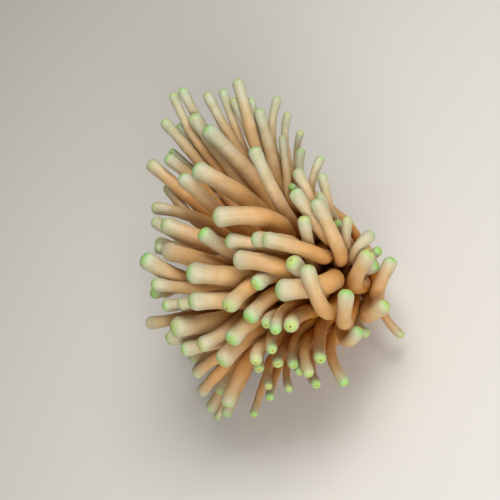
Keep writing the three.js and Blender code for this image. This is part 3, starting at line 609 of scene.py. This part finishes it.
# ------------------------------------------------------------------ body
SPIN_STEPS = 120
SPIN_MERGE = 0.01         # vertices that lie closer than this, as on the axis, are one
MIDDLE_STEP = 0.8         # from one ring of the body to the next, inside the first tentacles
OUTER_STEP = 2.0          # and outside
LIP_HEIGHT = 3.4          # of the swollen lips over the disc
LIP_RADIUS = 4.6          # where they are highest
LIP_WIDTH = 3.2           # how far they reach from there
MIDDLE_HEIGHT = 1.0       # of the disc's very middle over the disc, before the mouth sinks it
MOUTH = (1.3, 4.8, 6)     # half width and half length of the mouth, and its depth
ROOT_PLACE = 130          # mm from a tip that the disc, the column and the roots count as
DISC_FOLDS = (48, 0.3)    # folds that run out from the mouth: how many, and how high
FOLDS_PLACE = (15, 9)     # radius about which they lie, and how far they reach from it
COLUMN_FURROWS = (24, 0.55)       # how many, and how deep
FURROWS_PLACE = (20, 13)  # height about which they lie, and how far they reach from it
FURROW_CURVE = 0.6        # below 1 the ribs are round and the furrows between them narrow
FOOT_WAVES = ((0.7, 5, 1), (0.4, 11, 0))      # uneven edge: how much, how many, and their start
FOOT_WAVES_TOP = 12       # height below which the edge grows uneven
FOOT_WAVES_FADE = 10
BODY_TOP = 46             # height below which the disc takes on the look of the column
BODY_FADE = 9
TOP_DEPTH = 1             # what lies no deeper than this below the disc is its upper side
SOLE_HEIGHT = 0.2         # what lies lower than this is the flat sole
# Radius and height down the side and under the foot, from the margin to the sole.
SIDE_PROFILE = (
    (58.3, 39.4), (57.0, 37.6), (53.5, 36.0), (49.5, 35.0), (45.0, 33.6), (40.6, 31.8), (38.0, 29.6),
    (36.6, 27.0), (WAIST_RADIUS, WAIST_HEIGHT), (36.1, 20.0), (36.8, 16.0), (38.2, 12.4),
    (40.3, PEDAL_HEIGHT), (42.0, 6.2), (43.4, 3.6), (PEDAL_RADIUS, 1.6), (43.6, 0.4), (42.4, 0.0),
    (36.0, 0.0), (24.0, 0.0), (12.0, 0.0),
)


def body_profile():
    """Radius and height from the middle of the mouth over the margin to the middle of the sole."""
    places = [(0.0, DISC_HEIGHT + MIDDLE_HEIGHT)]
    for radius in np.arange(MIDDLE_STEP, MIDDLE_RADIUS, MIDDLE_STEP):
        lips = LIP_HEIGHT * math.exp(-((radius - LIP_RADIUS) / LIP_WIDTH) ** 2)
        places.append((radius, DISC_HEIGHT + lips))
    edge = MIDDLE_RADIUS + RING_STEP * len(TENTACLES_IN_SIXTH)
    places += [disc_profile(along) for along in np.arange(MIDDLE_RADIUS, edge + 1, OUTER_STEP)]
    return places + list(SIDE_PROFILE) + [(0.0, 0.0)]


def make_body():
    """Spins the profile, sinks the mouth, and raises the folds of the disc and the ribs of the
    column."""
    bm = new_bmesh()
    verts = [bm.verts.new((radius, 0, height)) for radius, height in body_profile()]
    edges = [bm.edges.new(pair) for pair in zip(verts, verts[1:])]
    bmesh.ops.spin(bm, geom=verts + edges, axis=(0, 0, 1), cent=(0, 0, 0), angle=2 * math.pi,
                   steps=SPIN_STEPS, use_merge=True)
    bmesh.ops.remove_doubles(bm, verts=bm.verts, dist=SPIN_MERGE)
    place_layer = bm.verts.layers.float_vector["place"]
    body_layer = bm.verts.layers.float["body"]
    for vert in bm.verts:
        x, y, z = vert.co
        radius, turn = math.hypot(x, y), math.atan2(y, x)
        if z > DISC_HEIGHT - TOP_DEPTH:
            vert.co.z -= MOUTH[2] * math.exp(-(x / MOUTH[0]) ** 2 - (y / MOUTH[1]) ** 4)
            folds = math.exp(-((radius - FOLDS_PLACE[0]) / FOLDS_PLACE[1]) ** 4)
            vert.co.z += DISC_FOLDS[1] * math.cos(DISC_FOLDS[0] * turn) * folds
        elif z > SOLE_HEIGHT:
            depth = COLUMN_FURROWS[1] * math.exp(-((z - FURROWS_PLACE[0]) / FURROWS_PLACE[1]) ** 4)
            rib = depth * abs(math.cos(COLUMN_FURROWS[0] / 2 * turn)) ** FURROW_CURVE
            wavy = sum(size * math.sin(count * turn + start) for size, count, start in FOOT_WAVES)
            wavy *= smooth((FOOT_WAVES_TOP - z) / FOOT_WAVES_FADE)
            grown = 1 + (rib - depth + wavy) / radius
            vert.co.x *= grown
            vert.co.y *= grown
        vert[place_layer] = (x, y, ROOT_PLACE)
        vert[body_layer] = smooth((BODY_TOP - z) / BODY_FADE)
    bmesh.ops.scale(bm, vec=(MM, MM, MM), verts=bm.verts)
    bmesh.ops.recalc_face_normals(bm, faces=bm.faces)
    return to_object(bm, "body")


# ------------------------------------------------------------------ skin
BLEND_REACH = 2.2         # how far above and below the disc the skin is smoothed at the roots
BLEND_PASSES = 4
SEAM_MERGE = 0.02         # vertices that lie closer than this, as along the seam, are one


def joined(body, tubes):
    """Body and tubes as one closed skin."""
    union = body.modifiers.new("union", "BOOLEAN")
    union.operation = "UNION"
    union.solver = "MANIFOLD"
    union.object = tubes
    depsgraph = bpy.context.evaluated_depsgraph_get()
    mesh = bpy.data.meshes.new_from_object(body.evaluated_get(depsgraph))
    for made in (body, tubes):
        bpy.data.objects.remove(made)
    return mesh


def make_skin():
    """The whole animal, with its tentacles' roots blended into the disc."""
    mesh = joined(make_body(), make_tubes())
    mesh.name = "skin"
    bm = bmesh.new()
    bm.from_mesh(mesh)
    bmesh.ops.remove_doubles(bm, verts=bm.verts, dist=SEAM_MERGE * MM)
    seam = [vert for vert in bm.verts if is_near_seam(vert.co)]
    place_layer = bm.verts.layers.float_vector["place"]
    # at its root even a short tentacle counts as far from its tip as the disc does
    for vert in seam:
        x, y, from_tip = vert[place_layer]
        vert[place_layer] = (x, y, max(from_tip, ROOT_PLACE))
    for again in range(BLEND_PASSES):
        bmesh.ops.smooth_vert(bm, verts=seam, factor=0.5, use_axis_x=True, use_axis_y=True,
                              use_axis_z=True)
    for face in bm.faces:
        face.smooth = True
    bm.to_mesh(mesh)
    bm.free()
    skin = bpy.data.objects.new("skin", mesh)
    bpy.context.scene.collection.objects.link(skin)
    return skin


def is_near_seam(point):
    """Whether a point lies close to the disc's own surface, out where the tentacles grow."""
    x, y, z = (value / MM for value in point)
    radius = math.hypot(x, y)
    if radius < MIDDLE_RADIUS or z < DISC_HEIGHT - MARGIN_BEND:
        return False
    if radius < FLAT_RADIUS:
        return abs(z - DISC_HEIGHT) < BLEND_REACH
    bend = math.hypot(radius - FLAT_RADIUS, z - DISC_HEIGHT + MARGIN_BEND)
    return abs(bend - MARGIN_BEND) < BLEND_REACH


skin = make_skin()
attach(skin, "root")
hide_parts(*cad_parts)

# ------------------------------------------------------------------ materials
def linear(hex_colour):
    """Linear RGBA of an sRGB hex colour."""
    values = [int(hex_colour[i:i + 2], 16) / 255 for i in (1, 3, 5)]
    return [v / 12.92 if v <= 0.04045 else ((v + 0.055) / 1.055) ** 2.4 for v in values] + [1.0]


def add(tree, kind, inputs=None, stops=(), **settings):
    """Adds a node. inputs gives a socket, by name or number, its value or the output that feeds it,
    and stops are the places and colours of a colour ramp."""
    node = tree.nodes.new(kind)
    for name, value in settings.items():
        setattr(node, name, value)
    for socket, value in (inputs or {}).items():
        if isinstance(value, bpy.types.NodeSocket):
            tree.links.new(value, node.inputs[socket])
        else:
            node.inputs[socket].default_value = value
    for i, (place, colour) in enumerate(stops):
        element = node.color_ramp.elements.new(place) if i > 1 else node.color_ramp.elements[i]
        element.position = place
        element.color = linear(colour)
    return node


# Mix nodes have a set of sockets for each kind of value: these are the ones for colours.
SHARE, FIRST, SECOND, MIXED = 0, 6, 7, 2
PALE_REACH = 145          # mm over which a shaft darkens to its root's brown, part its own, part painted shade
UNEVEN = (5, 3)           # mm by which that shifts in patches, and from one tentacle to the next
GREEN_REACH = 7           # mm from the tip over which the green fades out
SLIT = (0.2, 0.085)       # half length and half width of the pore's painted shade, against the tip's radius
# The rings and the grain are drawn coarser than the real ones, which are too fine to show.
WRINKLE_SPACING = 1.7     # mm between the fine rings round a tentacle
WRINKLE_DRIFT = (9, 1.2)  # radians by which the patches and the grain throw the rings out of line
WRINKLE_HEIGHT = 0.07     # of the rings, against the grain's height
GRAIN_SIZE = 0.7          # mm across the velvety grain of the skin
BUMP_DEPTH = 0.25         # mm from the bottom to the top of the grain
MOTTLE_SIZE = 9           # mm across soft patches of tone
PATCH_SHARE = 0.7         # how strongly those patches show
FURROW_DRIFT = 0.12       # radians by which the patches throw the column's painted furrow shade out of line


def flesh():
    """Living anemone flesh, a wet translucent skin grown over a body full of seawater. It gives a
    soft glow with little shadow, a faint wet sheen, fine rings, and green caps on pale tips."""
    material = bpy.data.materials.new("living flesh, moist and translucent")
    material.use_nodes = True
    tree = material.node_tree
    tree.nodes.clear()
    place = add(tree, "ShaderNodeAttribute", attribute_name="place").outputs["Vector"]
    tone = add(tree, "ShaderNodeAttribute", attribute_name="tone").outputs["Fac"]
    body = add(tree, "ShaderNodeAttribute", attribute_name="body").outputs["Fac"]
    from_tip = add(tree, "ShaderNodeSeparateXYZ", {"Vector": place}).outputs["Z"]
    where = add(tree, "ShaderNodeTexCoord").outputs["Object"]
    mottle = add(tree, "ShaderNodeTexNoise",
                 {"Vector": where, "Scale": 1 / (MOTTLE_SIZE * MM), "Detail": 3.0}).outputs["Fac"]
    grain = add(tree, "ShaderNodeTexNoise",
                {"Vector": where, "Scale": 1 / (GRAIN_SIZE * MM), "Detail": 2.0}).outputs["Fac"]

    # a shaft darkens from its tip to its root, a little unevenly: the pale tip and tan shaft are its own
    # colour, and the deep golden brown near the root is painted shade of the crowded depths of the crown
    shifted = add(tree, "ShaderNodeMath", {0: mottle, 1: UNEVEN[0], 2: from_tip},
                  operation="MULTIPLY_ADD").outputs[0]
    shifted = add(tree, "ShaderNodeMath", {0: tone, 1: UNEVEN[1], 2: shifted},
                  operation="MULTIPLY_ADD").outputs[0]
    # painted light: the groups that stand in full light darken more slowly, so their shafts stay lighter
    # for longer
    painted_light_paler = add(tree, "ShaderNodeAttribute", attribute_name="painted_light_paler").outputs["Fac"]
    slower = add(tree, "ShaderNodeMath", {0: 1.0, 1: painted_light_paler}, operation="SUBTRACT").outputs[0]
    shifted = add(tree, "ShaderNodeMath", {0: shifted, 1: slower}, operation="MULTIPLY").outputs[0]
    along = add(tree, "ShaderNodeMapRange",
                {"Value": shifted, "From Min": sum(UNEVEN) / 2, "From Max": PALE_REACH}).outputs[0]
    # the last, darkest stops are painted shade for the depths of the crown
    shaft = add(tree, "ShaderNodeValToRGB", {"Fac": along}, stops=[
        (0.0, "#B7C0AE"), (0.04, "#BDB9A2"), (0.09, "#C5AE8A"), (0.2, "#CCA26D"), (0.48, "#C68832"),
        (0.72, "#AF6B0B"), (1.0, "#904A00"),
    ]).outputs["Color"]
    patches = add(tree, "ShaderNodeValToRGB", {"Fac": mottle},
                  stops=[(0.3, "#EBDDBC"), (0.7, "#FFFFFF")]).outputs["Color"]
    shaft = add(tree, "ShaderNodeMix", {SHARE: PATCH_SHARE, FIRST: shaft, SECOND: patches},
                data_type="RGBA", blend_type="MULTIPLY").outputs[MIXED]

    # the tip's face is green with a yellower middle and painted shade in the slit of its pore, and the end
    # behind it is faintly green: off_axis runs from 0 in the middle of the face to 1 at the tip's radius
    at_tip = add(tree, "ShaderNodeMath", {0: from_tip, 1: GREEN_REACH}, operation="LESS_THAN").outputs[0]
    across = add(tree, "ShaderNodeVectorMath", {0: place, 1: (1, 1, 0)}, operation="MULTIPLY").outputs[0]
    off_axis = add(tree, "ShaderNodeVectorMath", {0: across}, operation="LENGTH").outputs["Value"]
    green = add(tree, "ShaderNodeMix",
                {SHARE: tone, FIRST: linear("#6FCB55"), SECOND: linear("#ABC46E")},
                data_type="RGBA").outputs[MIXED]
    end = add(tree, "ShaderNodeMapRange",
              {"Value": from_tip, "From Min": GREEN_REACH, "From Max": 0.0, "To Max": 0.42},
              interpolation_type="SMOOTHSTEP").outputs[0]
    face = add(tree, "ShaderNodeMapRange",
               {"Value": off_axis, "From Min": 0.92, "From Max": 0.4, "To Max": 0.5},
               interpolation_type="SMOOTHSTEP").outputs[0]
    cap = add(tree, "ShaderNodeMath", {0: face, 1: at_tip, 2: end}, operation="MULTIPLY_ADD").outputs[0]
    capped = add(tree, "ShaderNodeMix", {SHARE: cap, FIRST: shaft, SECOND: green},
                 data_type="RGBA").outputs[MIXED]
    middle = add(tree, "ShaderNodeMapRange",
                 {"Value": off_axis, "From Min": 0.65, "From Max": 0.2, "To Max": 0.8}).outputs[0]
    middle = add(tree, "ShaderNodeMath", {0: middle, 1: at_tip}, operation="MULTIPLY").outputs[0]
    capped = add(tree, "ShaderNodeMix", {SHARE: middle, FIRST: capped, SECOND: linear("#BFBC7C")},
                 data_type="RGBA").outputs[MIXED]
    squeezed = add(tree, "ShaderNodeVectorMath", {0: across, 1: (1 / SLIT[0], 1 / SLIT[1], 0)},
                   operation="MULTIPLY").outputs[0]
    off_slit = add(tree, "ShaderNodeVectorMath", {0: squeezed}, operation="LENGTH").outputs["Value"]
    # painted shade: the pore's slit is painted dark for the shade inside its opening
    slit = add(tree, "ShaderNodeMapRange",
               {"Value": off_slit, "From Min": 1.6, "From Max": 0.5, "To Max": 0.85}).outputs[0]
    slit = add(tree, "ShaderNodeMath", {0: slit, 1: at_tip}, operation="MULTIPLY").outputs[0]
    capped = add(tree, "ShaderNodeMix", {SHARE: slit, FIRST: capped, SECOND: linear("#5E5A24")},
                 data_type="RGBA").outputs[MIXED]

    # the column and the foot are a warmer brown than the tentacles, with painted shade along the furrows
    column = add(tree, "ShaderNodeValToRGB", {"Fac": mottle},
                 stops=[(0.35, "#B07C4E"), (0.65, "#CDA478")]).outputs["Color"]
    spot = add(tree, "ShaderNodeSeparateXYZ", {"Vector": where}).outputs
    bearing = add(tree, "ShaderNodeMath", {0: spot["Y"], 1: spot["X"]}, operation="ARCTAN2").outputs[0]
    bearing = add(tree, "ShaderNodeMath", {0: mottle, 1: FURROW_DRIFT, 2: bearing},
                  operation="MULTIPLY_ADD").outputs[0]
    ribs = add(tree, "ShaderNodeMath", {0: bearing, 1: COLUMN_FURROWS[0]}, operation="MULTIPLY").outputs[0]
    ribs = add(tree, "ShaderNodeMath", {0: ribs}, operation="COSINE").outputs[0]
    # painted shade: the colour darkens in the furrows between the column's ribs
    painted_furrow_shade = add(tree, "ShaderNodeMapRange",
                 {"Value": ribs, "From Min": 0.4, "From Max": -1.0, "To Max": 0.55},
                 interpolation_type="SMOOTHSTEP").outputs[0]
    column = add(tree, "ShaderNodeMix", {SHARE: painted_furrow_shade, FIRST: column, SECOND: linear("#8F5B33")},
                 data_type="RGBA").outputs[MIXED]
    colour = add(tree, "ShaderNodeMix", {SHARE: body, FIRST: capped, SECOND: column},
                 data_type="RGBA").outputs[MIXED]

    # fine rings round each tentacle, broken up by the grain, which stand up, with painted shade in the
    # hollows
    turned = add(tree, "ShaderNodeMath", {0: from_tip, 1: 2 * math.pi / WRINKLE_SPACING},
                 operation="MULTIPLY").outputs[0]
    turned = add(tree, "ShaderNodeMath", {0: mottle, 1: WRINKLE_DRIFT[0], 2: turned},
                 operation="MULTIPLY_ADD").outputs[0]
    turned = add(tree, "ShaderNodeMath", {0: grain, 1: WRINKLE_DRIFT[1], 2: turned},
                 operation="MULTIPLY_ADD").outputs[0]
    wave = add(tree, "ShaderNodeMath", {0: turned}, operation="SINE").outputs[0]
    on_shaft = add(tree, "ShaderNodeMath", {0: 1.0, 1: body}, operation="SUBTRACT").outputs[0]
    rings = add(tree, "ShaderNodeMath", {0: wave, 1: on_shaft}, operation="MULTIPLY").outputs[0]
    height = add(tree, "ShaderNodeMath", {0: rings, 1: WRINKLE_HEIGHT, 2: grain},
                 operation="MULTIPLY_ADD").outputs[0]
    bump = add(tree, "ShaderNodeBump", {"Height": height, "Strength": 0.6, "Distance": BUMP_DEPTH * MM})
    # painted shade: the colour darkens where the rings and the grain are lowest
    painted_groove_shade = add(tree, "ShaderNodeMapRange",
                 {"Value": height, "From Min": 0.7, "From Max": 0.3, "To Max": 0.4}).outputs[0]
    colour = add(tree, "ShaderNodeMix", {SHARE: painted_groove_shade, FIRST: colour, SECOND: linear("#E0CCA4")},
                 data_type="RGBA", blend_type="MULTIPLY").outputs[MIXED]

    shader = add(tree, "ShaderNodeBsdfPrincipled", {
        "Base Color": colour, "Normal": bump.outputs["Normal"], "Roughness": 0.45, "IOR": 1.37,
        "Subsurface Weight": 0.7, "Subsurface Radius": (1.0, 0.65, 0.2), "Subsurface Scale": 5 * MM,
        "Coat Weight": 0.08, "Coat Roughness": 0.25,
    })
    add(tree, "ShaderNodeOutputMaterial", {"Surface": shader.outputs[0]})
    return material


skin.data.materials.clear()
skin.data.materials.append(flesh())


# ------------------------------------------------------------------ floor and light
FLOOR_REACH = 4           # metres from its middle to its edge
LAMP_SIZE = 0.8           # metres along a side
CROWN_MIDDLE = (-20, 10, 60)      # mm across, up and out from the middle of the disc


def add_floor():
    """A plain pale floor of matt paint, which gives an even ground."""
    bm = bmesh.new()
    bmesh.ops.create_grid(bm, x_segments=1, y_segments=1, size=FLOOR_REACH)
    floor = to_object(bm, "floor")
    material = bpy.data.materials.new("pale matt paint, rolled")
    material.use_nodes = True
    shader = material.node_tree.nodes["Principled BSDF"]
    shader.inputs["Base Color"].default_value = linear("#CFCCC6")
    shader.inputs["Roughness"].default_value = 0.85
    floor.data.materials.append(material)


def add_lamp(name, toward, metres, watts):
    """A soft square lamp, so far from the middle of the crown in that direction."""
    data = bpy.data.lights.new(name, "AREA")
    data.size = LAMP_SIZE
    data.energy = watts
    lamp = bpy.data.objects.new(name, data)
    middle = Vector(from_face(CROWN_MIDDLE) * MM)
    direction = Vector(unit(np.array(toward, dtype=float)))
    lamp.matrix_world = (Matrix.Translation(middle + direction * metres)
                         @ direction.to_track_quat("Z", "Y").to_matrix().to_4x4())
    bpy.context.scene.collection.objects.link(lamp)


def add_world():
    """Faint warm light from all round, which opens the shadows."""
    world = bpy.data.worlds.new("studio")
    world.use_nodes = True
    background = world.node_tree.nodes["Background"]
    background.inputs["Color"].default_value = linear("#F4EBDC")
    background.inputs["Strength"].default_value = 0.25
    bpy.context.scene.world = world


add_floor()
add_lamp("key", -0.05 * FACE_RIGHT + 0.75 * FACE_UP + 0.8 * FACE_OUT, metres=1.3, watts=15)
add_lamp("fill", 0.05 * FACE_RIGHT - 0.35 * FACE_UP + 0.93 * FACE_OUT, metres=1.5, watts=18)
add_world()
bpy.context.scene.view_settings.view_transform = "Standard"
